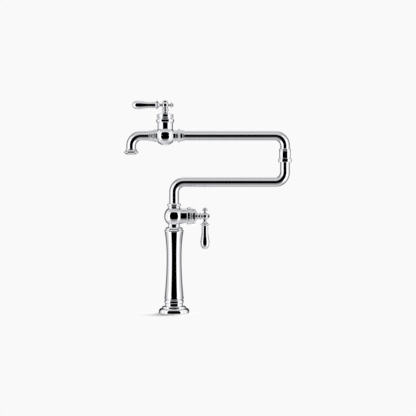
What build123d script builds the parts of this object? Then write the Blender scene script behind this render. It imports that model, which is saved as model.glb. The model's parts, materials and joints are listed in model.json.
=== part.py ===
from build123d import *
import math
import os

# Sizes in mm. Z = 0 is the top of the deck, the column stands on the Z axis,
# and the folded arms lie along X.
# In an outline each point is (radius, height); a third number bows the edge that ends there,
# outward when positive. A list of points is one smooth curve through them.

# Fits
FIT = 0.05              # radial play of seated and turning fits
PLAY = 0.3              # open gap between pieces that pass each other
O_RING_D = 1.4          # section of every O-ring

# Under the deck
DECK_T = 30.0           # counter thickness the part is clamped to
SHANK_R = 13.22         # G 3/4 pipe thread
INLET_R = 10.48         # G 1/2 pipe thread
INLET_L = 15.0
SHANK_BORE_R = 5.3
SHANK_FREE = 10.5       # thread left free under the nut
RELIEF_W = 1.2
WASHER_R = 24.0
RUBBER_T = 3.0
CLAMP_T = 2.0
NUT_T = 10.0
NUT_FLATS = 41.0
NUT_CHAMFER = 1.6

# Base
GASKET_R = 29.0
GASKET_T = 2.0
BASE_R = 32.5
LEDGE_R = 25.5
BASE_NECK_R = 18.8
BASE_H = 20.5
BEAD_H = 7.0
GROOVE_H = 1.2
GROOVE_IN = 1.3         # groove over the bead, inside the base's neck

# Column
COLUMN_H = 142.6
COLUMN_LIP_R = 20.5
COLUMN_FOOT_R = 19.9
COLUMN_WAIST_R = 15.8
COLUMN_TOP_R = 19.9
COLUMN_WAIST_H = 89.3   # waist above the column's lower end
COLUMN_WALL = 2.3
HEAD_H = 14.0           # shank head inside the column's foot
SKIRT_H = 9.0           # cap skirt inside the column's top
CAP_R = 20.4
CAP_STEP = 2.0          # cap's upper cushion inside its rim
CAP_H = 10.3
RISER_R = 6.35          # half-inch pipe
RISER_WALL = 1.0
RISER_SEAT = 10.0

# Tubes and layout
TUBE_R = 10.3
TUBE_WALL = 1.2
BEND_R = 21.0
LOWER_REACH = 234.0     # column axis to elbow axis
UPPER_REACH = 252.7     # elbow axis to upper valve axis
SPOUT_REACH = 71.8      # upper valve axis to outlet axis
RISE_STRAIGHT = 25.8    # lower arm, straight length over the swivel
ELBOW_STRAIGHT = 25.7   # lower arm, straight length under the elbow
TOP_STRAIGHT = 6.4      # upper arm, straight length over the elbow socket
SPOUT_STRAIGHT = 11.5

# Swivels
SWIVEL_LIP = 1.1        # flange past the tube
FLANGE_T = 1.5
THRUST_T = 0.5
SPIGOT_STEP = 1.9       # spigot radius under the tube's
SPIGOT_WALL = 2.2
SPIGOT_L = 11.5
INSERT_L = 8.0          # spigot inside the tube
NUT_WALL = 2.5
NUT_SKIRT = 2.6
NUT_LIP_T = 1.5
SOCKET_H = 23.8
SOCKET_WALL = 2.0

# Valve
BALL_R = 21.1
BRANCH_R = 16.2
BRANCH_L = 6.3          # branch past the ball
SEAT_DROP = 2.0         # seat under the ball's centre
SEAT_BORE_R = 5.0
INLET_BORE_R = 4.0
PORT_BORE_R = 6.5
NECK_R = 12.3
NECK_L = 1.3            # neck past the ball
TAIL_R = 10.4
TAIL_L = 12.0
COLLAR_R = 13.1
COLLAR_INSET = 1.1      # collar's face short of the ball's side
THREAD_L = 2.8
NIPPLE_R = 9.45
NIPPLE_WALL = 2.4

# Cartridge and bonnet
CART_R = 9.0
CART_WALL = 1.4
CART_GAP = 1.6          # waterway around the cartridge
CART_TOP = 16.0
CART_FLANGE_T = 4.0
NOSE_R = 7.2
DISC_T = 2.5
SLOT_R = 4.6
SLOT_W = 3.0
BAR_W = 4.0
BAR_H = 4.9
TANG_W = 2.4
TANG_H = 1.0
BONNET_BEAD_H = 7.8
BONNET_NECK_H = 5.8
DOME_STEP = 2.8         # dome's rim past the branch
DOME_GAP = 1.0
DOME_H = 15.8

# Handle
SPINDLE_R = 4.0
DRIVE_R = 3.5
DRIVE_FLAT = 2.8
DRIVE_L = 10.0
SCREW_R = 1.6
SCREW_HEAD_R = 3.2
SCREW_HEAD_H = 2.8
HUB_R = 7.6
HUB_L = 12.5            # hub's foot to its centre
HUB_NECK_R = 5.0
HUB_GAP = 0.5
LEVER_L = 70.0
LEVER_R = 9.6
LEVER_NECK_R = 3.5
LEVER_PEG_R = 2.85
FINIAL_L = 18.2
FINIAL_R = 5.9
FINIAL_PEG_R = 1.75
PEG_L = 3.0
BUTTON_H = 4.5

# Arm joint, spout collar and outlet
UNION_R = 14.6
UNION_L = 8.6
FERRULE_R = 12.4
FERRULE_L = 8.7
COLLAR_L = 14.0
TUBE_SEAT = 7.5
OUTLET_R = 15.2
OUTLET_MOUTH_R = 9.0
OUTLET_H = 10.8
OUTLET_GRIP = 3.8       # tube inside the outlet
OUTLET_SEAL_T = 1.2
INSERT_FLANGE_T = 1.2
INSERT_R = 8.9
JET_R = 0.75
JET_PITCH = 2.5

# Sizes and places that follow
NECK_REACH = BALL_R + NECK_L
COLLAR_REACH = BALL_R - COLLAR_INSET
SWIVEL_FACE = COLLAR_REACH + THREAD_L
UNION_END = NECK_REACH + UNION_L
FERRULE_END = UNION_END + FERRULE_L
FERRULE_SHANK_R = TUBE_R + 0.5
COLLAR_END = COLLAR_REACH + COLLAR_L
OUTLET_TUBE_Z = OUTLET_H - OUTLET_GRIP
OUTLET_SEAL_Z = OUTLET_TUBE_Z - OUTLET_SEAL_T
INSERT_SEAT = OUTLET_SEAL_Z - INSERT_FLANGE_T
CAVITY_R = CART_R + CART_GAP
BRANCH_BORE_R = CAVITY_R + 1.4
NIPPLE_START = CAVITY_R + 3.2
COLLAR_START = NIPPLE_START - 1.0
PORT_DEPTH = CAVITY_R - 2.1
INLET_DROP = SEAT_DROP + INLET_BORE_R + 0.8
CHAMBER_R = CART_R - CART_WALL
CHAMBER_H = 2 * DISC_T + BAR_H + 0.1
FLANGE_Z = CART_TOP + CART_FLANGE_T
BRANCH_TOP = BALL_R + BRANCH_L
BEAD_TOP = BRANCH_TOP + BONNET_BEAD_H
BONNET_NECK_R = BRANCH_R - 1.2
DOME_R = BRANCH_R + DOME_STEP
DOME_Z = BEAD_TOP + DOME_GAP
DOME_TOP = DOME_Z + DOME_H
NOSE_TOP = DOME_TOP - 8.0
HUB_BASE = DOME_TOP + HUB_GAP
HUB_Z = HUB_BASE + HUB_L
HUB_TOP = HUB_Z + math.sqrt(HUB_R ** 2 - HUB_NECK_R ** 2)
HUB_LOW = 2 * HUB_Z - HUB_TOP
DRIVE_TOP = HUB_BASE + DRIVE_L
SCREW_SEAT = DRIVE_TOP + 3.4
PEG_START = HUB_R - PEG_L - 0.6

COLUMN_Z = BASE_H + BEAD_H + GROOVE_H
CAP_Z = COLUMN_Z + COLUMN_H
VALVE_Z = CAP_Z + CAP_H + NECK_REACH
SWIVEL_Z = VALVE_Z + SWIVEL_FACE
FLANGE_TOP = THRUST_T + FLANGE_T
LOWER_ARM_Z = SWIVEL_Z + FLANGE_TOP + RISE_STRAIGHT + BEND_R
ELBOW_Z = LOWER_ARM_Z + BEND_R + ELBOW_STRAIGHT
UPPER_ARM_Z = ELBOW_Z + SOCKET_H + TOP_STRAIGHT + BEND_R
UPPER_X = LOWER_REACH - UPPER_REACH
OUTLET_X = UPPER_X - SPOUT_REACH
TUBE_END_Z = UPPER_ARM_Z - BEND_R - SPOUT_STRAIGHT

SPIGOT_R = TUBE_R - SPIGOT_STEP
FLANGE_R = TUBE_R + SWIVEL_LIP
THREAD_R = FLANGE_R + 2 * FIT
NUT_BORE_R = THREAD_R + FIT
SOCKET_DEPTH = SPIGOT_L - THRUST_T + 0.5
GROOVE_D = O_RING_D + 0.05
GROOVE_W = O_RING_D + 0.6
SHANK_HOLE_R = SHANK_R + PLAY
HEAD_R = COLUMN_FOOT_R - COLUMN_WALL - FIT
SKIRT_R = COLUMN_TOP_R - COLUMN_WALL - FIT

# Valve frames: local +Z is the stem, +X the inlet, -X the outlet
LOWER_VALVE = Location((0, 0, VALVE_Z)) * Rot(0, 90, 0)
UPPER_VALVE = Location((UPPER_X, 0, UPPER_ARM_Z))
INLET = Rot(0, 90, 0)
OUTLET = Rot(0, -90, 0)


def lathe(outline):
    """Turn a closed outline about Z."""
    edges = []
    here = outline[0][:2]
    for step in outline[1:] + outline[:1]:
        if isinstance(step, list):
            edges.append(Edge.make_spline([Vector(*here)] + [Vector(*p) for p in step]))
            here = step[-1]
            continue
        there = step[:2]
        if len(step) == 3:
            dr, dz = there[0] - here[0], there[1] - here[1]
            bow = step[2] / math.hypot(dr, dz)
            middle = ((here[0] + there[0]) / 2 + dz * bow, (here[1] + there[1]) / 2 - dr * bow)
            edges.append(Edge.make_three_point_arc(here, middle, there))
        else:
            edges.append(Edge.make_line(here, there))
        here = there
    return revolve(Plane.XZ * make_face(edges), Axis.Z)


def ring(inner, outer, low, high):
    """A plain ring about Z, or a disc when the inner radius is 0."""
    return lathe([(inner, low), (outer, low), (outer, high), (inner, high)])


def torus(radius, height):
    """One O-ring about Z."""
    half = O_RING_D / 2
    return Location((0, 0, height)) * Torus(radius, half)


def flare_bow(rise, run):
    """Bow of an arc that leaves the axis direction and moves out by rise over run."""
    arc_r = (run ** 2 + rise ** 2) / (2 * rise)
    chord = math.hypot(rise, run)
    return arc_r - math.sqrt(arc_r ** 2 - chord ** 2 / 4)


def tube(points):
    """A round tube along a bent centreline."""
    path = FilletPolyline(*points, radius=BEND_R)
    section = Circle(TUBE_R) - Circle(TUBE_R - TUBE_WALL)
    return sweep(Plane(path @ 0, z_dir=path % 0) * section, path=path)


# Base and column

def deck_gasket():
    return ring(SHANK_HOLE_R, GASKET_R, 0, GASKET_T)


def base_flange():
    recess_r = GASKET_R + PLAY
    return lathe([
        (SHANK_HOLE_R, GASKET_T),
        (recess_r, GASKET_T),
        (recess_r, PLAY),
        (BASE_R - 0.8, PLAY),
        (BASE_R, 1.1, 0.25),
        (BASE_R, 4.4),
        (LEDGE_R + 0.3, 10.6, 1.8),
        (LEDGE_R, 10.9, -0.1),
        (LEDGE_R, 12.0),
        (LEDGE_R - 1.7, 14.4, 0.6),
        (BASE_NECK_R + 0.8, 14.4),
        (BASE_NECK_R, 15.2, -0.2),
        (BASE_NECK_R, BASE_H),
        (SHANK_HOLE_R, BASE_H),
    ])


def base_bead():
    edge_r = BASE_NECK_R + 0.4
    groove_r = BASE_NECK_R - GROOVE_IN
    top = BASE_H + BEAD_H
    return lathe([
        (SHANK_HOLE_R, BASE_H),
        (edge_r, BASE_H),
        (edge_r, top, 1.5),
        (groove_r, top),
        (groove_r, COLUMN_Z),
        (SHANK_HOLE_R, COLUMN_Z),
    ])


def column():
    low, high = COLUMN_Z, CAP_Z
    waist = low + COLUMN_WAIST_H
    foot = low + 8.9
    foot_bow = flare_bow(COLUMN_FOOT_R - COLUMN_WAIST_R, waist - foot)
    top_bow = flare_bow(COLUMN_TOP_R - COLUMN_WAIST_R, high - waist)
    foot_bore_r = HEAD_R + FIT
    top_bore_r = SKIRT_R + FIT
    bore_r = COLUMN_WAIST_R - COLUMN_WALL
    return lathe([
        (foot_bore_r, low),
        (COLUMN_FOOT_R - 0.3, low),
        (COLUMN_LIP_R, low + 4.5, 0.6),
        (COLUMN_FOOT_R, foot, -0.3),
        (COLUMN_WAIST_R, waist, -foot_bow),
        (COLUMN_TOP_R, high, -top_bow),
        (top_bore_r, high),
        (top_bore_r, high - SKIRT_H),
        (bore_r, high - SKIRT_H),
        (bore_r, low + HEAD_H),
        (foot_bore_r, low + HEAD_H),
    ])


def column_cap():
    hole_r = TAIL_R + FIT
    cushion_r = CAP_R - CAP_STEP
    top = CAP_Z + CAP_H
    return lathe([
        (hole_r, CAP_Z - SKIRT_H),
        (SKIRT_R, CAP_Z - SKIRT_H),
        (SKIRT_R, CAP_Z),
        (CAP_R - 0.4, CAP_Z),
        (CAP_R, CAP_Z + 0.6, 0.1),
        (CAP_R, CAP_Z + 2.0),
        (cushion_r + 0.6, CAP_Z + 3.7, 0.4),
        (cushion_r, CAP_Z + 4.4, -0.2),
        (cushion_r, CAP_Z + 6.0),
        (NECK_R + 1.9, top - 0.7, 0.7),
        (NECK_R + 0.4, top, 0.1),
        (hole_r, top),
    ])


def supply_riser():
    low = COLUMN_Z + HEAD_H - RISER_SEAT
    return ring(RISER_R - RISER_WALL, RISER_R, low + PLAY, VALVE_Z - NIPPLE_START - PLAY)


def riser_ring_heights():
    return COLUMN_Z + HEAD_H - RISER_SEAT / 2, VALVE_Z - NECK_REACH - TAIL_L / 2


def riser_o_rings():
    return Compound([torus(RISER_R + GROOVE_D / 2, z) for z in riser_ring_heights()])


def riser_groove(height):
    return ring(0, RISER_R + GROOVE_D, height - GROOVE_W / 2, height + GROOVE_W / 2)


def nut_under():
    """Height of the shank nut's lower face."""
    return -(DECK_T + RUBBER_T + CLAMP_T + NUT_T)


def mounting_shank():
    head_top = COLUMN_Z + HEAD_H
    seat_r = RISER_R + FIT
    free_top = nut_under() - RELIEF_W
    free_end = free_top - SHANK_FREE
    body = lathe([
        (SHANK_BORE_R, free_end - INLET_L),
        (INLET_R, free_end - INLET_L),
        (INLET_R, free_end),
        (SHANK_R, free_end),
        (SHANK_R, free_top),
        (SHANK_R - 0.8, free_top),
        (SHANK_R - 0.8, nut_under()),
        (SHANK_R, nut_under()),
        (SHANK_R, COLUMN_Z),
        (HEAD_R, COLUMN_Z),
        (HEAD_R, head_top),
        (seat_r, head_top),
        (seat_r, head_top - RISER_SEAT),
        (SHANK_BORE_R, head_top - RISER_SEAT),
    ])
    return body - riser_groove(riser_ring_heights()[0])


def deck_rubber_washer():
    return ring(SHANK_HOLE_R, WASHER_R, -DECK_T - RUBBER_T, -DECK_T)


def deck_clamp_washer():
    top = -DECK_T - RUBBER_T
    return ring(SHANK_HOLE_R, WASHER_R, top - CLAMP_T, top)


def shank_nut():
    low = nut_under()
    corner_r = NUT_FLATS / math.sqrt(3)
    hexagon = extrude(RegularPolygon(NUT_FLATS / 2, 6, major_radius=False), NUT_T)
    cut = lathe([
        (0, 0),
        (NUT_FLATS / 2, 0),
        (corner_r + 0.2, NUT_CHAMFER),
        (corner_r + 0.2, NUT_T - NUT_CHAMFER),
        (NUT_FLATS / 2, NUT_T),
        (0, NUT_T),
    ])
    nut = (hexagon & cut) - ring(0, SHANK_R + FIT, -1, NUT_T + 1)
    return Location((0, 0, low)) * nut


# Valves, each in its own frame

def valve_core():
    """Ball and branch."""
    return Sphere(BALL_R) + ring(0, BRANCH_R, 0, BRANCH_TOP)


def valve_passages():
    cavity = lathe([
        (0, -INLET_DROP - 2),
        (SEAT_BORE_R, -INLET_DROP - 2),
        (SEAT_BORE_R, -SEAT_DROP),
        (CAVITY_R, -SEAT_DROP),
        (CAVITY_R, CART_TOP),
        (BRANCH_BORE_R, CART_TOP),
        (BRANCH_BORE_R, BRANCH_TOP + 1),
        (0, BRANCH_TOP + 1),
    ])
    feed = Location((0, 0, -INLET_DROP)) * INLET * ring(0, INLET_BORE_R, 0, NIPPLE_START + 1)
    drain = OUTLET * ring(0, PORT_BORE_R, PORT_DEPTH, COLLAR_REACH)
    return cavity + feed + drain


def lower_valve_body():
    tail_end = NECK_REACH + TAIL_L
    neck = lathe([
        (0, 0),
        (NECK_R, 0),
        (NECK_R, NECK_REACH),
        (TAIL_R, NECK_REACH),
        (TAIL_R, tail_end),
        (0, tail_end),
    ])
    swivel_neck = lathe([
        (0, 0),
        (COLLAR_R, 0),
        (COLLAR_R, COLLAR_REACH - 1.0),
        (COLLAR_R - 0.7, COLLAR_REACH, 0.2),
        (THREAD_R, COLLAR_REACH + 0.9),
        (THREAD_R, SWIVEL_FACE),
        (0, SWIVEL_FACE),
    ])
    body = valve_core() + INLET * neck + OUTLET * swivel_neck - valve_passages()
    body -= INLET * ring(0, RISER_R + FIT, NIPPLE_START, tail_end + 1)
    body -= INLET * riser_groove(VALVE_Z - riser_ring_heights()[1])
    body -= OUTLET * ring(0, SPIGOT_R + FIT, SWIVEL_FACE - SOCKET_DEPTH, SWIVEL_FACE + 1)
    return LOWER_VALVE * body


def upper_valve_body():
    inlet_neck = lathe([
        (0, 0),
        (NECK_R, 0),
        (NECK_R, NECK_REACH - 0.8),
        (NECK_R - 0.6, NECK_REACH, 0.2),
        (0, NECK_REACH),
    ])
    outlet_neck = lathe([
        (0, 0),
        (COLLAR_R, 0),
        (COLLAR_R, COLLAR_REACH - 1.0),
        (COLLAR_R - 0.7, COLLAR_REACH, 0.2),
        (0, COLLAR_REACH),
    ])
    body = valve_core() + INLET * inlet_neck + OUTLET * outlet_neck - valve_passages()
    body -= INLET * ring(0, NIPPLE_R + FIT, NIPPLE_START, NECK_REACH + 1)
    body -= OUTLET * ring(0, NIPPLE_R + FIT, COLLAR_START, BALL_R + 1)
    return UPPER_VALVE * body


def seat_seal():
    return ring(SEAT_BORE_R + 0.2, CART_R - 0.2, -SEAT_DROP, 0)


def cartridge_body():
    flange_r = BRANCH_BORE_R - FIT
    body = lathe([
        (CHAMBER_R, 0),
        (CART_R, 0),
        (CART_R, CART_TOP),
        (flange_r, CART_TOP),
        (flange_r, FLANGE_Z),
        (NOSE_R, FLANGE_Z),
        (NOSE_R, NOSE_TOP),
        (SPINDLE_R + FIT, NOSE_TOP),
        (SPINDLE_R + FIT, CHAMBER_H),
        (CHAMBER_R, CHAMBER_H),
    ])
    low = 2 * DISC_T + 0.3
    window_h = CHAMBER_H - low - 0.5
    for across in (0, 90):
        window = Box(2 * CART_R + 2, 6.0, window_h, align=(Align.CENTER, Align.CENTER, Align.MIN))
        body -= Location((0, 0, low)) * Rot(0, 0, across) * window
    return body


def port_disc(middle_angle):
    """A ceramic disc with two opposite curved ports."""
    disc = ring(0, CHAMBER_R - FIT, 0, DISC_T)
    for side in (0, 180):
        arc = CenterArc((0, 0), SLOT_R, middle_angle + side - 30, 60)
        disc -= extrude(SlotArc(arc, SLOT_W), DISC_T)
    return disc


def fixed_disc():
    return port_disc(0)


def turning_disc():
    hang = (Align.CENTER, Align.CENTER, Align.MAX)
    groove = Box(4 * CHAMBER_R, TANG_W + 2 * FIT, TANG_H + FIT, align=hang)
    disc = port_disc(90) - Location((0, 0, DISC_T)) * groove
    return Location((0, 0, DISC_T)) * disc


def spindle_grooves():
    return FLANGE_Z + 6.0, FLANGE_Z + 12.0


def spindle():
    foot = 2 * DISC_T
    bar_top = foot + BAR_H
    bar = Box(2 * CHAMBER_R, BAR_W, bar_top - foot, align=(Align.CENTER, Align.CENTER, Align.MIN))
    tang = Box(2 * CHAMBER_R, TANG_W, TANG_H, align=(Align.CENTER, Align.CENTER, Align.MAX))
    drive = (bar + tang) & ring(0, CHAMBER_R - 0.4, -TANG_H, bar_top)
    shaft = ring(0, SPINDLE_R, bar_top, HUB_BASE - PLAY) + ring(0, DRIVE_R, HUB_BASE - PLAY, DRIVE_TOP)
    for z in spindle_grooves():
        shaft -= ring(SPINDLE_R - GROOVE_D, SPINDLE_R + 1, z - GROOVE_W / 2, z + GROOVE_W / 2)
    for side in (-1, 1):
        flat = Box(2 * DRIVE_R, DRIVE_R, DRIVE_L + 1, align=(Align.CENTER, Align.MIN, Align.MIN))
        place = Location((0, 0, HUB_BASE)) * Rot(0, 0, 90 - 90 * side)
        shaft -= place * Location((0, DRIVE_FLAT, 0)) * flat
    shaft -= ring(0, SCREW_R + FIT, HUB_BASE + 1, DRIVE_TOP + 1)
    return Location((0, 0, foot)) * drive + shaft


def spindle_o_rings():
    return Compound([torus(SPINDLE_R - GROOVE_D / 2, z) for z in spindle_grooves()])


def bonnet_ring():
    skirt_r = BRANCH_BORE_R - FIT
    bore_r = NOSE_R + PLAY
    edge_r = BRANCH_R + 0.6
    crown_r = DOME_R - 0.2
    return lathe([
        (bore_r, FLANGE_Z),
        (skirt_r, FLANGE_Z),
        (skirt_r, BRANCH_TOP),
        (edge_r, BRANCH_TOP),
        (crown_r, BRANCH_TOP + 2.0, 0.5),
        (crown_r, BEAD_TOP - 2.0),
        (edge_r, BEAD_TOP, 0.5),
        (BONNET_NECK_R, BEAD_TOP),
        (BONNET_NECK_R, BEAD_TOP + BONNET_NECK_H),
        (bore_r, BEAD_TOP + BONNET_NECK_H),
    ])


def bonnet_dome():
    low = DOME_Z
    seat = BEAD_TOP + BONNET_NECK_H
    bore_r = BONNET_NECK_R + FIT
    hole_r = SPINDLE_R + PLAY
    return lathe([
        (bore_r, low),
        (DOME_R - 0.6, low),
        (DOME_R, low + 1.2, 0.2),
        (DOME_R - 0.7, low + 2.4, 0.2),
        (DOME_R - 1.1, low + 2.8, -0.2),
        (DOME_R - 0.5, low + 3.6, 0.2),
        (DOME_R - 0.5, low + 7.8),
        (DOME_R - 2.2, low + 9.4, 0.5),
        (HUB_NECK_R + 2.0, DOME_TOP - 0.9, -0.5),
        (HUB_NECK_R + 0.8, DOME_TOP, 0.1),
        (hole_r, DOME_TOP),
        (hole_r, DOME_TOP - 2.2),
        (hole_r + 1.6, DOME_TOP - 2.6),
        (BONNET_NECK_R - 1.8, seat),
        (bore_r, seat),
    ])


def hub():
    body = lathe([
        (0, HUB_BASE),
        (HUB_NECK_R + 1.4, HUB_BASE),
        (HUB_NECK_R + 1.4, HUB_BASE + 3.9, 1.0),
        (HUB_NECK_R, HUB_BASE + 4.7, -0.2),
        (HUB_NECK_R, HUB_LOW),
        (HUB_NECK_R, HUB_TOP, HUB_R - HUB_NECK_R),
        (0, HUB_TOP),
    ])
    socket = ring(0, DRIVE_R + FIT, HUB_BASE - 1, DRIVE_TOP + FIT)
    slab = Box(4 * DRIVE_R, 2 * (DRIVE_FLAT + FIT), 2 * DRIVE_TOP)
    body -= socket & slab
    body -= ring(0, SCREW_R + PLAY, DRIVE_TOP - 1, HUB_TOP + 1)
    body -= ring(0, SCREW_HEAD_R + PLAY, SCREW_SEAT, HUB_TOP + 1)
    middle = Location((0, 0, HUB_Z))
    body -= middle * INLET * ring(0, LEVER_PEG_R + FIT, PEG_START - FIT, HUB_R)
    body -= middle * OUTLET * ring(0, FINIAL_PEG_R + FIT, PEG_START - FIT, HUB_R)
    return body


def handle_screw():
    seat = SCREW_SEAT
    shank = ring(0, SCREW_R, HUB_BASE + 2, seat)
    head = lathe([
        (0, seat),
        (SCREW_HEAD_R, seat),
        (SCREW_HEAD_R, seat + SCREW_HEAD_H - 1),
        (SCREW_HEAD_R - 1, seat + SCREW_HEAD_H, 0.3),
        (0, seat + SCREW_HEAD_H),
    ])
    recess = extrude(RegularPolygon(1.25, 6, major_radius=False), 1.6)
    return shank + head - Location((0, 0, seat + SCREW_HEAD_H - 1.5)) * recess


def lever():
    """Along +Z from the hub's centre."""
    shoulder = math.sqrt(HUB_R ** 2 - LEVER_PEG_R ** 2)
    return lathe([
        (0, PEG_START),
        (LEVER_PEG_R, PEG_START),
        (LEVER_PEG_R, shoulder),
        (LEVER_NECK_R + 0.2, shoulder),
        (LEVER_NECK_R, 10.4),
        (LEVER_R - 0.3, 16.8, -1.1),
        (LEVER_R - 0.3, 18.0, 0.3),
        (LEVER_R - 3.0, 20.2, -0.3),
        [(LEVER_R - 2.7, 23.6), (LEVER_R - 2.9, 32.0), (LEVER_R - 1.8, 42.6), (LEVER_R - 0.2, 51.5),
         (LEVER_R, 55.5), (LEVER_R - 0.5, 60.0), (LEVER_R - 2.6, LEVER_L - 4.6),
         (LEVER_R - 5.8, LEVER_L - 1.4)],
        (0, LEVER_L, flare_bow(1.4, LEVER_R - 5.8)),
    ])


def finial():
    """Along +Z from the hub's centre."""
    shoulder = math.sqrt(HUB_R ** 2 - FINIAL_PEG_R ** 2)
    return lathe([
        (0, PEG_START),
        (FINIAL_PEG_R, PEG_START),
        (FINIAL_PEG_R, shoulder),
        (FINIAL_PEG_R + 0.5, shoulder),
        (FINIAL_PEG_R + 0.3, 10.6),
        (FINIAL_R - 0.6, 11.3, 0.1),
        (FINIAL_R - 0.6, 13.2, 0.6),
        (FINIAL_R - 1.4, 14.0, -0.1),
        (0, FINIAL_L, flare_bow(FINIAL_L - 14.0, FINIAL_R - 1.4)),
    ])


def button():
    plug_r = SCREW_HEAD_R + PLAY - FIT
    return lathe([
        (0, HUB_TOP - 1.2),
        (plug_r, HUB_TOP - 1.2),
        (plug_r, HUB_TOP),
        (HUB_NECK_R, HUB_TOP),
        (HUB_NECK_R + 0.1, HUB_TOP + BUTTON_H - 2.2),
        (HUB_NECK_R - 0.9, HUB_TOP + BUTTON_H - 1.0, 0.3),
        (0, HUB_TOP + BUTTON_H, flare_bow(1.0, HUB_NECK_R - 0.9)),
    ])


# Swivels: Z = 0 is the socket's face, +Z leads into the tube

def spigot():
    insert_r = TUBE_R - TUBE_WALL - FIT
    bore_r = SPIGOT_R - SPIGOT_WALL
    foot = THRUST_T - SPIGOT_L
    body = lathe([
        (bore_r, foot),
        (SPIGOT_R - 0.6, foot),
        (SPIGOT_R, foot + 0.6),
        (SPIGOT_R, THRUST_T),
        (FLANGE_R, THRUST_T),
        (FLANGE_R, FLANGE_TOP),
        (insert_r, FLANGE_TOP),
        (insert_r, FLANGE_TOP + INSERT_L),
        (bore_r, FLANGE_TOP + INSERT_L),
    ])
    for z in spigot_grooves():
        body -= ring(SPIGOT_R - GROOVE_D, SPIGOT_R + 1, z - GROOVE_W / 2, z + GROOVE_W / 2)
    return body


def spigot_grooves():
    return -SPIGOT_L * 0.3, -SPIGOT_L * 0.65


def spigot_o_rings():
    return Compound([torus(SPIGOT_R - GROOVE_D / 2, z) for z in spigot_grooves()])


def thrust_washers():
    under = ring(SPIGOT_R + PLAY, FLANGE_R, 0, THRUST_T)
    over = ring(TUBE_R + PLAY, FLANGE_R, FLANGE_TOP, FLANGE_TOP + THRUST_T)
    return Compound([under, over])


def swivel_nut():
    """Rounded nut over the column's swivel."""
    lip = FLANGE_TOP + THRUST_T
    low = COLLAR_REACH + 1.1 - SWIVEL_FACE
    top = lip + NUT_LIP_T
    outer = NUT_BORE_R + NUT_WALL
    return lathe([
        (NUT_BORE_R, low),
        (outer - 0.9, low),
        (outer + 0.3, low + 1.2, 0.3),
        (outer + 0.3, low + 3.2),
        (TUBE_R + 2.0, top - 0.4, 0.6),
        (TUBE_R + 1.4, top, 0.1),
        (TUBE_R + PLAY, top),
        (TUBE_R + PLAY, lip),
        (NUT_BORE_R, lip),
    ])


def elbow_nut():
    """Round nut under the elbow socket."""
    lip = FLANGE_TOP + THRUST_T
    top = lip + NUT_LIP_T + 0.8
    outer = NUT_BORE_R + NUT_WALL
    return lathe([
        (NUT_BORE_R, -NUT_SKIRT),
        (outer - 1.2, -NUT_SKIRT),
        (outer, 0.2 - NUT_SKIRT, 0.3),
        (outer, top - 1.0),
        (outer - 0.8, top, 0.25),
        (TUBE_R + PLAY, top),
        (TUBE_R + PLAY, lip),
        (NUT_BORE_R, lip),
    ])


def elbow_socket():
    outer = TUBE_R + SOCKET_WALL
    bead_r = outer + 0.1
    seat = SOCKET_H - TUBE_SEAT
    return lathe([
        (SPIGOT_R + FIT, 0),
        (THREAD_R, 0),
        (THREAD_R, NUT_SKIRT + 0.5),
        (outer, NUT_SKIRT + 1.3),
        (outer, SOCKET_H - 5.6),
        (bead_r - 0.4, SOCKET_H - 5.4),
        (bead_r - 0.4, SOCKET_H - 2.9, 0.7),
        (bead_r - 0.4, SOCKET_H - 0.4, 0.7),
        (bead_r - 0.9, SOCKET_H),
        (TUBE_R + FIT, SOCKET_H),
        (TUBE_R + FIT, seat),
        (SPIGOT_R - SPIGOT_WALL, seat),
        (SPIGOT_R - SPIGOT_WALL, SOCKET_DEPTH),
        (SPIGOT_R + FIT, SOCKET_DEPTH),
    ])


# Arms and spout

def lower_arm_tube():
    return tube([
        (0, 0, SWIVEL_Z + FLANGE_TOP),
        (0, 0, LOWER_ARM_Z),
        (LOWER_REACH, 0, LOWER_ARM_Z),
        (LOWER_REACH, 0, ELBOW_Z - FLANGE_TOP),
    ])


def upper_arm_tube():
    return tube([
        (LOWER_REACH, 0, ELBOW_Z + SOCKET_H - TUBE_SEAT),
        (LOWER_REACH, 0, UPPER_ARM_Z),
        (UPPER_X + FERRULE_END - TUBE_SEAT, 0, UPPER_ARM_Z),
    ])


def spout_tube():
    return tube([
        (UPPER_X - COLLAR_END + TUBE_SEAT, 0, UPPER_ARM_Z),
        (OUTLET_X, 0, UPPER_ARM_Z),
        (OUTLET_X, 0, TUBE_END_Z),
    ])


def arm_union():
    bore_r = FERRULE_SHANK_R + FIT
    edge_r = NECK_R - 0.3
    return lathe([
        (bore_r, NECK_REACH),
        (edge_r - 0.4, NECK_REACH),
        (edge_r - 0.3, NECK_REACH + 1.9, -0.1),
        (edge_r + 0.3, NECK_REACH + 2.3),
        (edge_r + 0.3, NECK_REACH + 4.5),
        (UNION_R - 0.7, UNION_END - 3.6),
        (UNION_R - 0.7, UNION_END, 0.7),
        (bore_r, UNION_END),
    ])


def arm_ferrule():
    bore_r = NIPPLE_R - NIPPLE_WALL
    seat = FERRULE_END - TUBE_SEAT
    return lathe([
        (bore_r, NIPPLE_START + PLAY),
        (NIPPLE_R, NIPPLE_START + PLAY),
        (NIPPLE_R, NECK_REACH),
        (FERRULE_SHANK_R, NECK_REACH),
        (FERRULE_SHANK_R, UNION_END + 0.5),
        (FERRULE_R - 0.5, UNION_END + 0.5),
        (FERRULE_R - 0.5, UNION_END + 5.5, 0.5),
        (TUBE_R + 0.9, UNION_END + 6.1),
        (TUBE_R + 0.9, FERRULE_END - 0.4, 0.2),
        (TUBE_R + 0.6, FERRULE_END),
        (TUBE_R + FIT, FERRULE_END),
        (TUBE_R + FIT, seat),
        (bore_r, seat),
    ])


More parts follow.
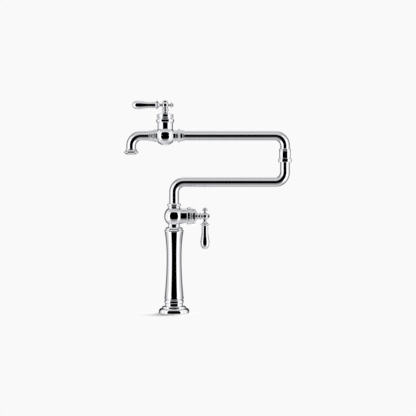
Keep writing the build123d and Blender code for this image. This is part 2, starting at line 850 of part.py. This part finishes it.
def spout_collar():
    bore_r = NIPPLE_R - NIPPLE_WALL - 0.5
    seat = COLLAR_END - TUBE_SEAT
    return lathe([
        (bore_r, COLLAR_START + PLAY),
        (NIPPLE_R, COLLAR_START + PLAY),
        (NIPPLE_R, COLLAR_REACH),
        (COLLAR_R - 0.7, COLLAR_REACH),
        (COLLAR_R - 0.5, COLLAR_REACH + 3.9, 1.0),
        (COLLAR_R - 1.1, COLLAR_REACH + 4.3),
        (COLLAR_R - 0.8, COLLAR_REACH + 4.6),
        (COLLAR_R - 0.8, COLLAR_REACH + 6.2),
        (TUBE_R + 0.7, COLLAR_REACH + 8.2, -0.5),
        (TUBE_R + 0.7, COLLAR_END - 3.0, 0.4),
        (TUBE_R + 0.7, COLLAR_END - 0.2, 0.4),
        (TUBE_R + 0.5, COLLAR_END),
        (TUBE_R + FIT, COLLAR_END),
        (TUBE_R + FIT, seat),
        (bore_r, seat),
    ])


def outlet_housing():
    """Z = 0 is the outlet's lower face."""
    seat_r = TUBE_R + FIT
    return lathe([
        (OUTLET_MOUTH_R, 0),
        (OUTLET_MOUTH_R + 1.0, 0),
        (OUTLET_MOUTH_R + 1.4, 0.3, 0.1),
        (OUTLET_R - 0.4, OUTLET_H - 7.7, 0.1),
        (OUTLET_R, OUTLET_H - 7.2, 0.1),
        (OUTLET_R, OUTLET_H - 5.4),
        (OUTLET_R - 0.6, OUTLET_H - 4.8, 0.2),
        (TUBE_R + 1.2, OUTLET_H - 1.2, -0.5),
        (TUBE_R + 0.9, OUTLET_H, 0.15),
        (seat_r, OUTLET_H),
        (seat_r, INSERT_SEAT),
        (OUTLET_MOUTH_R, INSERT_SEAT),
    ])


def outlet_insert():
    body = lathe([
        (0, 0.8),
        (INSERT_R - 0.5, 0.8),
        (INSERT_R, 1.3),
        (INSERT_R, INSERT_SEAT),
        (TUBE_R, INSERT_SEAT),
        (TUBE_R, OUTLET_SEAL_Z),
        (0, OUTLET_SEAL_Z),
    ])
    jets = [Location((0, 0, -1))]
    for row in range(1, 4):
        for k in range(6 * row):
            jets.append(Rot(0, 0, 60 * k / row) * Location((row * JET_PITCH, 0, -1)))
    hole = Cylinder(JET_R, OUTLET_H, align=(Align.CENTER, Align.CENTER, Align.MIN))
    return body - [place * hole for place in jets]


def outlet_washer():
    return ring(TUBE_R - TUBE_WALL, TUBE_R, OUTLET_SEAL_Z, OUTLET_TUBE_Z)


def handle_pieces(turn):
    """The turning pieces of one valve, with the lever toward local -X before the turn about the stem."""
    middle = Location((0, 0, HUB_Z))
    spin = Rot(0, 0, turn)
    return {
        "turning_disc": spin * turning_disc(),
        "spindle": spin * spindle(),
        "spindle_o_rings": spindle_o_rings(),
        "hub": spin * Rot(0, 0, 180) * hub(),
        "handle_screw": spin * handle_screw(),
        "lever": spin * middle * OUTLET * lever(),
        "finial": spin * middle * INLET * finial(),
        "button": button(),
    }


def valve_head():
    return {
        "seat_seal": seat_seal(),
        "cartridge_body": cartridge_body(),
        "fixed_disc": fixed_disc(),
        "bonnet_ring": bonnet_ring(),
        "bonnet_dome": bonnet_dome(),
    }


def all_pieces():
    pieces = {
        "deck_gasket": deck_gasket(),
        "base_flange": base_flange(),
        "base_bead": base_bead(),
        "column": column(),
        "column_cap": column_cap(),
        "supply_riser": supply_riser(),
        "riser_o_rings": riser_o_rings(),
        "mounting_shank": mounting_shank(),
        "deck_rubber_washer": deck_rubber_washer(),
        "deck_clamp_washer": deck_clamp_washer(),
        "shank_nut": shank_nut(),
        "lower_valve_body": lower_valve_body(),
        "upper_valve_body": upper_valve_body(),
        "lower_arm_tube": lower_arm_tube(),
        "upper_arm_tube": upper_arm_tube(),
        "spout_tube": spout_tube(),
        "arm_union": UPPER_VALVE * INLET * arm_union(),
        "arm_ferrule": UPPER_VALVE * INLET * arm_ferrule(),
        "spout_collar": UPPER_VALVE * OUTLET * spout_collar(),
    }
    lower_swivel = Location((0, 0, SWIVEL_Z))
    elbow = Location((LOWER_REACH, 0, ELBOW_Z))
    pieces["lower_swivel_nut"] = lower_swivel * swivel_nut()
    pieces["elbow_nut"] = elbow * Rot(180, 0, 0) * elbow_nut()
    pieces["elbow_socket"] = elbow * elbow_socket()
    for name, place in (("lower", lower_swivel), ("elbow", elbow * Rot(180, 0, 0))):
        pieces[name + "_spigot"] = place * spigot()
        pieces[name + "_spigot_o_rings"] = place * spigot_o_rings()
        pieces[name + "_thrust_washers"] = place * thrust_washers()
    outlet = Location((OUTLET_X, 0, TUBE_END_Z - OUTLET_TUBE_Z))
    pieces["outlet_housing"] = outlet * outlet_housing()
    pieces["outlet_insert"] = outlet * outlet_insert()
    pieces["outlet_washer"] = outlet * outlet_washer()
    for name, place, turn in (("lower", LOWER_VALVE, 180), ("upper", UPPER_VALVE, 0)):
        for piece, shape in {**valve_head(), **handle_pieces(turn)}.items():
            pieces[name + "_" + piece] = place * shape
    return pieces


os.makedirs("parts", exist_ok=True)
for name, shape in all_pieces().items():
    export_step(shape, "parts/" + name + ".step")
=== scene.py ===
import json
import math

import bpy
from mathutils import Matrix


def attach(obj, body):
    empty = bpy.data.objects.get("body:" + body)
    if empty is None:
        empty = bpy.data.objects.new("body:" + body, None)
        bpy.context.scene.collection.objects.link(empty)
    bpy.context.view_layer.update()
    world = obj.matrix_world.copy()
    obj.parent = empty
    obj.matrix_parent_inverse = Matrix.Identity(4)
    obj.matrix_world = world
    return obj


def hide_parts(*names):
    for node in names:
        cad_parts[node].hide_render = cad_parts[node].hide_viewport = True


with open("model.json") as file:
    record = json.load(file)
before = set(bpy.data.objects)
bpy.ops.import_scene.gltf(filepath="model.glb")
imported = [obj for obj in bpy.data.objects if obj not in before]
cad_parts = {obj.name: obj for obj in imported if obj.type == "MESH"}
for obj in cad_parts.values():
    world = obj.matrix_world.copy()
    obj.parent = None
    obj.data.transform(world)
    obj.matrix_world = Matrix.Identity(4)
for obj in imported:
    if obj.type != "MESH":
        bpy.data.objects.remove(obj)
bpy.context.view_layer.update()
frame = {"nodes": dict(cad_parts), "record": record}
nodes = frame["nodes"]
shown = dict(nodes)      # each node's name with the piece that shows for it
scene = bpy.context.scene
scene.view_settings.view_transform = "Standard"
MM_PER_M = 1000

# The photograph's camera: level, a little right of the column, focal length in pixels of the frame
FRAME_PX = 416
FOCAL_PX = 1150
MM_PER_PX = 2.11
AXIS_PX = 174.1
DECK_PX = 312.9
SENSOR = 36.0
CLIP_START = 0.01

# Light on the deck, and the deck's shadow beside the base
BACKGROUND = 0.947
AMBIENT = 0.12
LAMP = 3.55
LAMP_WIDTH, LAMP_TILT, LAMP_TURN = 45, 55, 64      # degrees
DECK_R = 1.3
DECK_SIDES = 96
DECK_LIT = 0.78          # light that reaches the open deck
SHADE_FULL, SHADE_END = 0.05, 0.10      # from the column's axis, m

# Levels of the room around the object: walls from the camera side at 0 to the back at 1, the dark part of the
# back wall with the heights of its edges, then the panels over and under the object from front to back
WALLS = [(0.0, 1.2), (0.29, 1.2), (0.36, 0.93), (0.46, 0.86), (0.57, 0.66), (0.64, 0.30), (0.78, 0.12),
         (0.88, 0.12), (0.93, 0.90)]
BACK_SIDE, BACK_LOW, BACK_HIGH = (0.64, 0.74), (0.04, 0.10), (0.50, 0.40)
BACK_LEVEL = 0.01
OVER = [(0.10, 0.60), (0.40, 0.58), (0.55, 0.52), (0.8, 0.60)]
UNDER = [(0.08, 0.28), (0.20, 0.36), (0.33, 0.60), (0.45, 0.72), (0.55, 0.60), (0.64, 0.32), (0.8, 0.25)]
PANEL_LEAN = math.radians(15)
PANEL_EDGE = (0.52, 0.74)

# Pieces that the pale strips and the extra light are for
TUBES = ("lower_arm_tube", "upper_arm_tube", "spout_tube")
DOMES = ("lower_bonnet_dome", "upper_bonnet_dome")
SLIM = ("column", "upper_bonnet_dome") + TUBES
NARROW = SLIM + ("arm_union",)
TINY = ("lower_finial", "upper_finial", "lower_button", "upper_button", "outlet_housing", "column_cap")
MAIN = tuple(name for name in nodes if name not in TINY)
PLAIN = tuple(name for name in MAIN if name not in ("column", "base_bead"))
ROUND = tuple(name for name in nodes if name not in SLIM)

# Dark camera side and the pale strips before it: pieces, left, right, low and high edges in m, level
CARD_Y, STRIP_STEP = -1.27, 0.01
CARD = (-2.30, 2.34, -2.00, 2.20)
RIM = 0.20
TAPER, TAPER_LOW, TAPER_HIGH = 0.22, 0.4, 1.6
PALE, GREY, DIM = 1.2, 0.58, 0.29
WING_LEFT, WING_RIGHT = -2.90, 2.90
LEFT, RIGHT = -1.65, 1.69
NEAR_LEFT, NEAR_RIGHT = -0.78, 0.90
TUBE_LEFT, TUBE_RIGHT = -0.98, 1.10
LOWEST, LOW, HIGH, HIGHEST = -2.1, -0.87, 1.75, 2.4
SLIT_LOW, SLIT_HIGH = 0.42, 0.57
STRIPS = {
    "left_wing": (MAIN, (WING_LEFT, -1.41, LOWEST, HIGHEST), PALE),
    "right_wing": (MAIN, (1.45, WING_RIGHT, LOWEST, HIGHEST), PALE),
    "over_wing": (MAIN, (LEFT, RIGHT, 1.55, HIGHEST), GREY),
    "under_wing": (PLAIN, (LEFT, RIGHT, LOWEST, -0.67), DIM),
    "left_strip": (NARROW, (LEFT, NEAR_LEFT, LOW, HIGH), PALE),
    "right_strip": (NARROW, (NEAR_RIGHT, RIGHT, LOW, HIGH), PALE),
    "lower_over": (("lower_arm_tube",), (TUBE_LEFT, TUBE_RIGHT, 1.00, HIGH), GREY),
    "upper_over": (("upper_arm_tube", "spout_tube"), (TUBE_LEFT, TUBE_RIGHT, 0.88, HIGH), GREY),
    "under": (TUBES, (TUBE_LEFT, TUBE_RIGHT, LOW, -0.28), DIM),
    "nut_over": (("lower_swivel_nut",), (LEFT, RIGHT, 0.36, HIGH), GREY),
    "nut_under": (("lower_swivel_nut",), (LEFT, RIGHT, LOW, 0.12), DIM),
    "cap_over": (("column_cap",), (LEFT, RIGHT, 0.42, HIGHEST), PALE),
    "cap_under": (("column_cap",), (LEFT, RIGHT, LOWEST, -0.05), GREY),
    "left_slit": (("upper_valve_body",), (LEFT, NEAR_LEFT, SLIT_LOW, SLIT_HIGH), PALE),
    "right_slit": (("upper_valve_body",), (NEAR_RIGHT, RIGHT, SLIT_LOW, SLIT_HIGH), PALE),
    "high_slit": (("upper_valve_body",), (LEFT, RIGHT, 1.23, HIGH), DIM),
}

# Extra light around the round pieces: half width, near and far ends, low and high edges of the room in m
ROOM_X, ROOM_NEAR, ROOM_FAR, ROOM_LOW, ROOM_HIGH = 1.6, -0.5, 1.2, -1.0, 1.8
ROOM_FADE = 0.9
SIDE_GLOW, OVER_GLOW, UNDER_GLOW, BACK_GLOW = 0.40, 0.22, 0.30, 0.55

# Finishes: material name, two tones, two roughnesses, metal or not, strength of the grain, turning marks
FINISHES = {
    "brass": ("machined_brass", [(0.66, 0.48, 0.21), (0.78, 0.60, 0.31)], (0.22, 0.38), 1.0, 0.15, 300.0),
    "rubber": ("black_rubber", [(0.02, 0.02, 0.02), (0.05, 0.05, 0.05)], (0.55, 0.8), 0.0, 0.35, 0.0),
    "ceramic": ("lapped_ceramic", [(0.84, 0.83, 0.78), (0.90, 0.89, 0.85)], (0.2, 0.35), 0.0, 0.08, 0.0),
    "plastic": ("satin_plastic", [(0.74, 0.74, 0.72), (0.80, 0.80, 0.78)], (0.35, 0.5), 0.0, 0.15, 0.0),
    "steel": ("plated_steel", [(0.52, 0.52, 0.53), (0.66, 0.66, 0.67)], (0.25, 0.4), 1.0, 0.2, 200.0),
}
TONE_FROM, TONE_TO = 0.35, 0.65
CLOUD_SCALE, PATCH_SCALE, GRAIN_SCALE = 45.0, 120.0, 900.0
CLOUD_DETAIL, GRAIN_DETAIL = 4.0, 3.0
GRAIN_DEPTH = 0.0002     # m
MARK_WAVER = 0.6

# Polished plate: tones, haze and hairline polishing marks
PLATE_TONES = [(0.3, (0.88, 0.885, 0.92)), (0.7, (0.91, 0.915, 0.945))]
PLATE_ROUGH = (0.01, 0.03)
PLATE_SCALE, HAZE_SCALE, HAIR_SCALE = 30.0, 70.0, 500.0
HAZE_DETAIL, HAIR_DETAIL = 6.0, 2.0
HAIR_STRETCH = (1, 1, 6)
HAIR_STRENGTH, HAIR_DEPTH = 0.006, 0.0001

# Turned pieces
SPOKES = 72
SHARP = math.radians(60)

# The shank under the deck, mm: pipe threads G 3/4 and G 1/2
SHANK_R, INLET_R, BORE_R = 13.22, 10.48, 5.3
HEAD_R, HEAD_LOW, HEAD_TOP = 17.55, 28.7, 42.7
SEAT_R, SEAT_LOW = 6.4, 32.7
THREAD_TOP, NUT_UNDER, FREE_TOP, FREE_END, INLET_END = -3.0, -45.0, -46.2, -56.7, -71.7
RELIEF = 0.8
PITCH, THREAD_H = 1.814, 1.162
THREAD_STEPS = 12        # rows per turn

# The bonnet domes, mm: radius and height over the foot, which is FOOT from the centre of the valve's ball
FOOT = 36.2
RING = [(15.05, 0.0), (18.3, 0.0), (18.8, 0.5), (18.8, 1.9), (18.3, 2.35), (17.6, 2.7), (17.6, 2.9),
        (18.1, 3.3), (18.1, 8.3), (17.9, 8.6)]
FLARE_R, FLARE_LOW, FLARE_END_R, FLARE_END = 17.2, 8.9, 6.0, 15.4
FLARE_STEPS = 12
INSIDE = [(5.8, 15.8), (4.3, 15.8), (4.3, 13.6), (5.9, 13.2), (13.2, 4.8), (15.05, 4.8)]
LOWER_BALL = (0.0, 0.0, 204.0)
UPPER_BALL = (-18.7, 0.0, 373.5)


def add(tree, kind, links=None, **settings):
    """A shader node with its sockets set or linked."""
    made = tree.nodes.new(kind)
    for key, value in settings.items():
        setattr(made, key, value)
    for socket, value in (links or {}).items():
        if isinstance(value, bpy.types.NodeSocket):
            tree.links.new(value, made.inputs[socket])
        else:
            made.inputs[socket].default_value = value
    return made


def calc(tree, operation, a, b=0.0):
    """A sum, product or other function of one or two values."""
    return add(tree, "ShaderNodeMath", {0: a, 1: b}, operation=operation).outputs[0]


def smooth(tree, value, start, end):
    """0 at the start and 1 at the end, whichever is larger."""
    links = {"Value": value, "From Min": start, "From Max": end}
    return add(tree, "ShaderNodeMapRange", links, interpolation_type="SMOOTHSTEP").outputs[0]


def span(tree, value, low, high):
    """A 0 to 1 value brought to low to high."""
    return add(tree, "ShaderNodeMapRange", {"Value": value, "To Min": low, "To Max": high}).outputs[0]


def grey(level):
    """An even grey."""
    return (level, level, level, 1.0)


def ramp(tree, value, stops):
    """A grey or coloured ramp through (place, colour) stops."""
    made = add(tree, "ShaderNodeValToRGB", {0: value})
    elements = made.color_ramp.elements
    while len(elements) < len(stops):
        elements.new(1.0)
    for element, (place, colour) in zip(elements, stops):
        element.position = place
        element.color = grey(colour) if isinstance(colour, float) else (*colour, 1.0)
    return made.outputs[0]


def mix(tree, factor, a, b):
    """Colour a where the factor is 0, colour b where it is 1."""
    made = add(tree, "ShaderNodeMix", {"Factor": factor, 6: a, 7: b}, data_type="RGBA")
    return made.outputs[2]


def noise(tree, place, scale, detail=CLOUD_DETAIL, stretch=(1, 1, 1)):
    """Soft noise, with its scale per metre."""
    vector = add(tree, "ShaderNodeMapping", {"Vector": place, "Scale": stretch}).outputs[0]
    made = add(tree, "ShaderNodeTexNoise", {"Vector": vector, "Scale": scale, "Detail": detail})
    return made.outputs[0]


def finish(tree, shader):
    """Lead a shader to its material's surface."""
    tree.links.new(shader, add(tree, "ShaderNodeOutputMaterial").inputs["Surface"])


def new_material(name):
    """A material with its tree, its shader and the object's coordinates."""
    made = bpy.data.materials.new(name)
    made.use_nodes = True
    tree = made.node_tree
    place = add(tree, "ShaderNodeTexCoord").outputs["Object"]
    return made, tree, tree.nodes["Principled BSDF"], place


def material(name, tones, rough, metal, grain, turned):
    """Two tones and two roughnesses mixed by noise, a fine grain, and turning marks around Z if asked for."""
    made, tree, shader, place = new_material(name)
    cloud = noise(tree, place, CLOUD_SCALE)
    tone = ramp(tree, cloud, [(TONE_FROM, tones[0]), (TONE_TO, tones[1])])
    tree.links.new(tone, shader.inputs["Base Color"])
    patches = noise(tree, place, PATCH_SCALE)
    tree.links.new(span(tree, patches, *rough), shader.inputs["Roughness"])
    shader.inputs["Metallic"].default_value = metal
    height = noise(tree, place, GRAIN_SCALE, GRAIN_DETAIL)
    if turned:
        links = {"Vector": place, "Scale": turned, "Distortion": MARK_WAVER}
        marks = add(tree, "ShaderNodeTexWave", links, bands_direction="Z")
        height = calc(tree, "ADD", height, marks.outputs["Fac"])
    bump = add(tree, "ShaderNodeBump", {"Strength": grain, "Distance": GRAIN_DEPTH, "Height": height})
    tree.links.new(bump.outputs[0], shader.inputs["Normal"])
    return made


def chrome_material():
    """Polished plate: a nearly clean mirror with faint haze patches and hairline polishing marks."""
    made, tree, shader, place = new_material("polished_chrome")
    tone = ramp(tree, noise(tree, place, PLATE_SCALE), PLATE_TONES)
    tree.links.new(tone, shader.inputs["Base Color"])
    haze = noise(tree, place, HAZE_SCALE, HAZE_DETAIL)
    tree.links.new(span(tree, haze, *PLATE_ROUGH), shader.inputs["Roughness"])
    shader.inputs["Metallic"].default_value = 1.0
    hairs = noise(tree, place, HAIR_SCALE, HAIR_DETAIL, HAIR_STRETCH)
    bump = add(tree, "ShaderNodeBump", {"Strength": HAIR_STRENGTH, "Distance": HAIR_DEPTH, "Height": hairs})
    tree.links.new(bump.outputs[0], shader.inputs["Normal"])
    return made


def dress_nodes():
    """Give each node the finish of its slot."""
    finishes = {slot: material(*values) for slot, values in FINISHES.items()}
    finishes["chrome"] = chrome_material()
    for part in frame["record"]["subparts"]:
        mesh = nodes[part["node"]].data
        mesh.materials.clear()
        mesh.materials.append(finishes[part["material_slot"]])
    return finishes


def turned_piece(name, rings, node, body, slot, finishes):
    """Close rings of points, in mm, into a turned piece that shows in place of a node."""
    points = [tuple(value / MM_PER_M for value in point) for ring in rings for point in ring]
    faces = []
    for row in range(len(rings)):
        here = row * SPOKES
        there = (row + 1) % len(rings) * SPOKES
        for k in range(SPOKES):
            after = (k + 1) % SPOKES
            faces.append((here + k, here + after, there + after, there + k))
    mesh = bpy.data.meshes.new(name)
    mesh.from_pydata(points, [], faces)
    mesh.shade_smooth()
    mesh.set_sharp_from_angle(angle=SHARP)
    mesh.materials.append(finishes[slot])
    piece = bpy.data.objects.new(name, mesh)
    scene.collection.objects.link(piece)
    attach(piece, body)
    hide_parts(node)
    shown[node] = piece


def spokes():
    """Angles of the points around a turned piece."""
    return [math.tau * k / SPOKES for k in range(SPOKES)]


def threaded(low, high, radius):
    """Rows of a pipe thread: height, crest radius and depth of the groove, which runs out at both ends."""
    rows = []
    count = round((high - low) / PITCH * THREAD_STEPS)
    for k in range(count + 1):
        height = low + (high - low) * k / count
        share = min(1.0, (height - low) / PITCH, (high - height) / PITCH)
        rows.append((height, radius, THREAD_H * share))
    return rows


def threaded_shank(finishes):
    """The shank with its cut threads, inside the plain cylinders of the solid."""
    rows = [(INLET_END, BORE_R, 0.0)]
    rows += threaded(INLET_END, FREE_END, INLET_R)
    rows += threaded(FREE_END, FREE_TOP, SHANK_R)
    rows += [(FREE_TOP, SHANK_R - RELIEF, 0.0), (NUT_UNDER, SHANK_R - RELIEF, 0.0)]
    rows += threaded(NUT_UNDER, THREAD_TOP, SHANK_R)
    rows += [(HEAD_LOW, SHANK_R, 0.0), (HEAD_LOW, HEAD_R, 0.0), (HEAD_TOP, HEAD_R, 0.0)]
    rows += [(HEAD_TOP, SEAT_R, 0.0), (SEAT_LOW, SEAT_R, 0.0), (SEAT_LOW, BORE_R, 0.0)]
    rings = []
    for height, radius, groove in rows:
        ring = []
        for turn in spokes():
            reach = radius - groove * (0.5 - 0.5 * math.cos(math.tau * height / PITCH - turn))
            ring.append((reach * math.cos(turn), reach * math.sin(turn), height))
        rings.append(ring)
    turned_piece("threaded_shank", rings, "mounting_shank", "column", "brass", finishes)


def dome_outline():
    """Grooved ring, hollow flare and inside of a bonnet dome."""
    outline = list(RING)
    for k in range(FLARE_STEPS + 1):
        share = k / FLARE_STEPS
        radius = FLARE_END_R + (FLARE_R - FLARE_END_R) * (1 - share) ** 2
        outline.append((radius, FLARE_LOW + (FLARE_END - FLARE_LOW) * share))
    return outline + INSIDE


def bell_dome(side, body, finishes):
    """Bonnet dome inside the solid's outline: the lower one lies along X, the upper one stands along Z."""
    centre = LOWER_BALL if side == "lower" else UPPER_BALL
    rings = []
    for radius, height in dome_outline():
        ring = []
        for turn in spokes():
            a, b, along = radius * math.cos(turn), radius * math.sin(turn), FOOT + height
            point = (along, a, b) if side == "lower" else (a, b, along)
            ring.append(tuple(middle + part for middle, part in zip(centre, point)))
        rings.append(ring)
    turned_piece(side + "_bell_dome", rings, side + "_bonnet_dome", body, "chrome", finishes)


def studio_world():
    """White to the camera. Mirrors see pale side walls and grey panels above and below."""
    world = bpy.data.worlds.new("studio")
    world.use_nodes = True
    scene.world = world
    tree = world.node_tree
    tree.nodes.clear()
    way = add(tree, "ShaderNodeTexCoord").outputs["Generated"]
    across, depth, up = add(tree, "ShaderNodeSeparateXYZ", {0: way}).outputs
    turn = calc(tree, "ARCTAN2", across, calc(tree, "MULTIPLY", depth, -1.0))
    turn = calc(tree, "DIVIDE", calc(tree, "ABSOLUTE", turn), math.pi)
    seen = ramp(tree, turn, WALLS)
    back = smooth(tree, turn, *BACK_SIDE)
    back = calc(tree, "MULTIPLY", back, smooth(tree, up, *BACK_LOW))
    back = calc(tree, "MULTIPLY", back, smooth(tree, up, *BACK_HIGH))
    seen = mix(tree, back, seen, grey(BACK_LEVEL))
    place = calc(tree, "ADD", calc(tree, "MULTIPLY", depth, 0.5), 0.5)
    for side, tones in ((1, OVER), (-1, UNDER)):
        axis = (0.0, -math.sin(PANEL_LEAN), side * math.cos(PANEL_LEAN))
        near = add(tree, "ShaderNodeVectorMath", {0: way, 1: axis}, operation="DOT_PRODUCT").outputs["Value"]
        seen = mix(tree, smooth(tree, near, *PANEL_EDGE), seen, ramp(tree, place, tones))
    ray = add(tree, "ShaderNodeLightPath")
    colour = mix(tree, ray.outputs["Is Glossy Ray"], grey(AMBIENT), seen)
    colour = mix(tree, ray.outputs["Is Camera Ray"], colour, grey(BACKGROUND))
    light = add(tree, "ShaderNodeBackground", {"Color": colour, "Strength": 1.0})
    tree.links.new(light.outputs[0], add(tree, "ShaderNodeOutputWorld").inputs["Surface"])


def stage_sheet(name, corners):
    """A flat sheet that isn't part of the object, with an empty material."""
    made = bpy.data.materials.new(name)
    made.use_nodes = True
    made.node_tree.nodes.clear()
    mesh = bpy.data.meshes.new(name)
    mesh.from_pydata(corners, [], [tuple(range(len(corners)))])
    mesh.materials.append(made)
    sheet = bpy.data.objects.new(name, mesh)
    scene.collection.objects.link(sheet)
    return sheet, made.node_tree


def mirror_sheet(name, corners):
    """A stage sheet that only mirrors see, with its coordinates."""
    sheet, tree = stage_sheet(name, corners)
    sheet.active_material.cycles.emission_sampling = "NONE"
    sheet.visible_camera = False
    sheet.visible_diffuse = False
    sheet.visible_shadow = False
    place = add(tree, "ShaderNodeTexCoord").outputs["Object"]
    return sheet, tree, add(tree, "ShaderNodeSeparateXYZ", {0: place}).outputs


def upright(y, left, right, low, high):
    """Corners of a sheet that faces the object from the front or the back."""
    return [(left, y, low), (right, y, low), (right, y, high), (left, y, high)]


def sideways(x, near, far, low, high):
    """Corners of a sheet beside the object."""
    return [(x, near, low), (x, far, low), (x, far, high), (x, near, high)]


def level_sheet(z, left, right, near, far):
    """Corners of a sheet over or under the object."""
    return [(left, near, z), (right, near, z), (right, far, z), (left, far, z)]


def faded(tree, across, up, left, right, low, high):
    """1 inside the edges, falling to 0 at them."""
    rim = min(RIM, (high - low) / 2)
    share = smooth(tree, across, left, left + rim)
    for value, edge, inner in ((across, right, right - rim), (up, low, low + rim), (up, high, high - rim)):
        share = calc(tree, "MULTIPLY", share, smooth(tree, value, edge, inner))
    return share


def dark_card():
    """The dark camera side of the room."""
    _, tree, (across, _, up) = mirror_sheet("dark_card", upright(CARD_Y, *CARD))
    clear = add(tree, "ShaderNodeBsdfTransparent").outputs[0]
    black = add(tree, "ShaderNodeBsdfDiffuse", {"Color": grey(0.0)}).outputs[0]
    share = faded(tree, across, up, *CARD)
    finish(tree, add(tree, "ShaderNodeMixShader", {0: share, 1: clear, 2: black}).outputs[0])


def shine_on(sheet, tree, glow, names):
    """Let a sheet shine, seen by the named pieces alone."""
    group = bpy.data.collections.new(sheet.name + "_pieces")
    for name in names:
        group.objects.link(shown[name])
    sheet.light_linking.receiver_collection = group
    shine = add(tree, "ShaderNodeEmission", {"Strength": glow}).outputs[0]
    clear = add(tree, "ShaderNodeBsdfTransparent").outputs[0]
    finish(tree, add(tree, "ShaderNodeAddShader", {0: shine, 1: clear}).outputs[0])


def pale_strips():
    """Strips before the card that set how wide the dark is on each kind of piece, narrower toward the top."""
    y = CARD_Y
    for name, (pieces, edges, level) in STRIPS.items():
        y += STRIP_STEP
        sheet, tree, (across, _, up) = mirror_sheet(name, upright(y, *edges))
        taper = calc(tree, "MULTIPLY", smooth(tree, up, TAPER_LOW, TAPER_HIGH), TAPER)
        across = calc(tree, "MULTIPLY", across, calc(tree, "ADD", taper, 1.0))
        glow = calc(tree, "MULTIPLY", faded(tree, across, up, *edges), level)
        shine_on(sheet, tree, glow, pieces)


def room_lights():
    """Extra light beside, over and under the round pieces, and behind the domes."""
    depths = (ROOM_NEAR, ROOM_FAR)
    heights = (ROOM_LOW, ROOM_HIGH)
    lights = {
        "left_light": (ROUND, sideways(-ROOM_X, *depths, *heights), SIDE_GLOW),
        "right_light": (ROUND, sideways(ROOM_X, *depths, *heights), SIDE_GLOW),
        "over_light": (ROUND, level_sheet(ROOM_HIGH, -ROOM_X, ROOM_X, *depths), OVER_GLOW),
        "under_light": (ROUND, level_sheet(ROOM_LOW, -ROOM_X, ROOM_X, *depths), UNDER_GLOW),
        "back_light": (DOMES, upright(ROOM_FAR, -ROOM_X, ROOM_X, *heights), BACK_GLOW),
    }
    for name, (pieces, corners, level) in lights.items():
        sheet, tree, (_, depth, _) = mirror_sheet(name, corners)
        glow = calc(tree, "MULTIPLY", smooth(tree, depth, ROOM_NEAR, ROOM_NEAR + ROOM_FADE), level)
        shine_on(sheet, tree, glow, pieces)


def floor():
    """Pale deck that keeps the soft shadow beside the base, and can be looked through from below."""
    turns = [math.tau * k / DECK_SIDES for k in range(DECK_SIDES)]
    deck, tree = stage_sheet("deck", [(DECK_R * math.cos(a), DECK_R * math.sin(a), 0.0) for a in turns])
    deck.visible_glossy = False
    place = add(tree, "ShaderNodeTexCoord").outputs["Object"]
    away = add(tree, "ShaderNodeVectorMath", {0: place}, operation="LENGTH").outputs["Value"]
    share = smooth(tree, away, SHADE_END, SHADE_FULL)
    diffuse = add(tree, "ShaderNodeBsdfDiffuse", {"Color": share}).outputs[0]
    level = calc(tree, "SUBTRACT", BACKGROUND, calc(tree, "MULTIPLY", share, DECK_LIT))
    glow = add(tree, "ShaderNodeEmission", {"Strength": level}).outputs[0]
    both = add(tree, "ShaderNodeAddShader", {0: diffuse, 1: glow}).outputs[0]
    below = add(tree, "ShaderNodeNewGeometry").outputs["Backfacing"]
    clear = add(tree, "ShaderNodeBsdfTransparent").outputs[0]
    finish(tree, add(tree, "ShaderNodeMixShader", {0: below, 1: both, 2: clear}).outputs[0])


def lamp():
    """One wide soft lamp from behind, a little to the right."""
    light = bpy.data.lights.new("soft_lamp", "SUN")
    light.energy = LAMP
    light.angle = math.radians(LAMP_WIDTH)
    thing = bpy.data.objects.new("soft_lamp", light)
    thing.rotation_euler = (0, math.radians(LAMP_TILT), math.radians(LAMP_TURN))
    thing.visible_glossy = False
    scene.collection.objects.link(thing)


def camera():
    """The photograph's viewpoint."""
    view = bpy.data.cameras.new("photo_camera")
    view.sensor_width = SENSOR
    view.lens = SENSOR * FOCAL_PX / FRAME_PX
    view.clip_start = CLIP_START
    thing = bpy.data.objects.new("photo_camera", view)
    scale = MM_PER_PX / MM_PER_M
    middle = FRAME_PX / 2
    thing.location = ((middle - AXIS_PX) * scale, -FOCAL_PX * scale, (DECK_PX - middle) * scale)
    thing.rotation_euler = (math.pi / 2, 0, 0)
    scene.collection.objects.link(thing)
    scene.camera = thing


finishes = dress_nodes()
threaded_shank(finishes)
bell_dome("lower", "column", finishes)
bell_dome("upper", "upper_arm", finishes)
studio_world()
dark_card()
pale_strips()
room_lights()
floor()
lamp()
camera()
